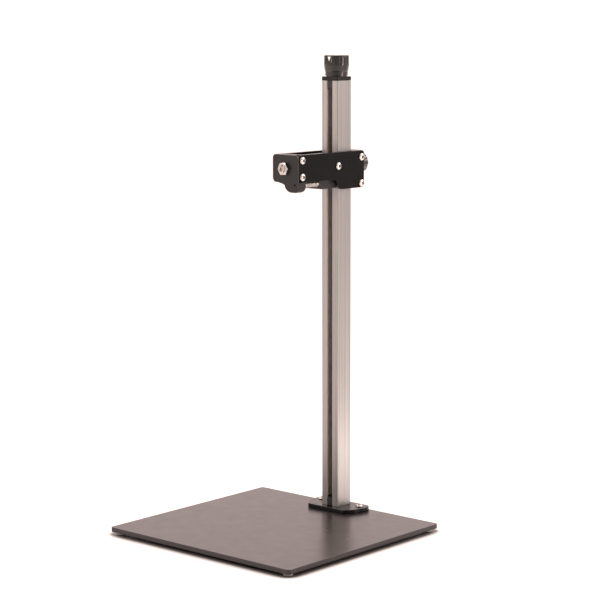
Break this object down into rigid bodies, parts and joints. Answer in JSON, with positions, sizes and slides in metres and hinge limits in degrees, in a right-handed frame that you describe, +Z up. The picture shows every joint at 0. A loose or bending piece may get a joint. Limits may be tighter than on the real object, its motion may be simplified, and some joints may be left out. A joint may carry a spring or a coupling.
{
  "type": "retort stand",
  "caption": "Bench stand with a flat base plate, a slotted square column and a screw-driven carriage whose short arm holds an instrument on a stud.",
  "frame": {"origin": "on the floor, in the middle of the overall footprint; the column stands on the X = 0 plane behind it", "axes": "+Z up the column; -Y is the front, where the arm points; +X is to the right seen from the front"},
  "size_m": [0.35, 0.3594, 0.692],
  "materials": {
    "black_powder_coat": "satin powder coat",
    "black_anodised": "satin black anodised",
    "silver_anodised": "satin natural anodised",
    "screw_steel": "bright zinc-plated steel",
    "ground_steel": "ground steel",
    "brass": "machined brass",
    "black_plastic": "moulded, semi-gloss",
    "plug_plastic": "moulded, matt",
    "slide_plastic": "natural acetal",
    "foot_rubber": "milky, matt",
    "index_white": "filled paint"
  },
  "bodies": {
    "stand": {"base_plate": "black_powder_coat", "foot_front_left": "foot_rubber", "foot_front_right": "foot_rubber", "foot_rear_right": "foot_rubber", "foot_rear_left": "foot_rubber", "column_flange": "black_anodised", "flange_screw_left": "screw_steel", "flange_screw_right": "screw_steel", "column": "silver_anodised", "column_screw_front_left": "screw_steel", "column_screw_front_right": "screw_steel", "column_screw_rear_right": "screw_steel", "column_screw_rear_left": "screw_steel", "lower_plug": "plug_plastic", "lower_bush": "brass", "upper_plug": "plug_plastic", "top_cap": "black_anodised", "cap_screw_right": "screw_steel", "cap_screw_left": "screw_steel", "bearing_housing": "black_anodised", "upper_bearing": "ground_steel"},
    "lead_screw": {"lead_screw": "ground_steel", "top_knob": "black_plastic", "knob_set_screw": "screw_steel", "knob_index_mark": "index_white"},
    "carriage": {"side_plate_left": "black_anodised", "side_plate_right": "black_anodised", "side_screw_left_front_upper": "screw_steel", "side_screw_left_front_lower": "screw_steel", "side_screw_left_middle": "screw_steel", "side_screw_left_rear_upper": "screw_steel", "side_screw_left_rear_lower": "screw_steel", "side_screw_right_front_upper": "screw_steel", "side_screw_right_front_lower": "screw_steel", "side_screw_right_middle": "screw_steel", "side_screw_right_rear_upper": "screw_steel", "side_screw_right_rear_lower": "screw_steel", "front_block": "black_anodised", "mounting_stud": "screw_steel", "mounting_nut": "screw_steel", "front_guide_block": "black_anodised", "lead_nut": "brass", "nut_screw": "screw_steel", "side_pad_left_upper": "slide_plastic", "side_pad_left_lower": "slide_plastic", "side_pad_right_upper": "slide_plastic", "side_pad_right_lower": "slide_plastic", "rear_pad_upper": "slide_plastic", "rear_pad_lower": "slide_plastic", "rear_block": "black_anodised", "spring_rod": "ground_steel", "brake_spring": "ground_steel"},
    "brake": {"brake_shoe": "black_anodised", "brake_lining_left": "slide_plastic", "brake_lining_right": "slide_plastic"},
    "clamp_pad": {"clamp_pad": "slide_plastic"},
    "clamp_screw": {"clamp_screw": "screw_steel", "clamp_knob": "black_plastic"}
  },
  "joints": [
    {"name": "carriage_slide", "type": "slide", "parent": "stand", "child": "carriage", "axis": [0, 0, 1], "range_m": [-0.465, 0.095]},
    {"name": "lead_screw_turn", "type": "hinge", "parent": "stand", "child": "lead_screw", "pos_m": [0, 0.12425, 0.67], "axis": [0, 0, 1], "range_deg": [-3450, 16770]},
    {"name": "brake_slide", "type": "slide", "parent": "carriage", "child": "brake", "axis": [0, 1, 0], "range_m": [-0.003, 0], "stiffness_N_per_m": 2000, "springref_m": 0.003, "deforming": ["brake_spring"]},
    {"name": "clamp_pad_slide", "type": "slide", "parent": "carriage", "child": "clamp_pad", "axis": [0, 1, 0], "range_m": [0, 0.0025]},
    {"name": "clamp_knob_turn", "type": "hinge", "parent": "clamp_pad", "child": "clamp_screw", "pos_m": [0, 0.16925, 0.532], "axis": [0, 1, 0], "range_deg": [0, 722]}
  ],
  "couplings": [
    {"joint": "lead_screw_turn", "follows": "carriage_slide", "rad_per_m": -628.32},
    {"joint": "clamp_knob_turn", "follows": "clamp_pad_slide", "rad_per_m": 5026.5}
  ]
}
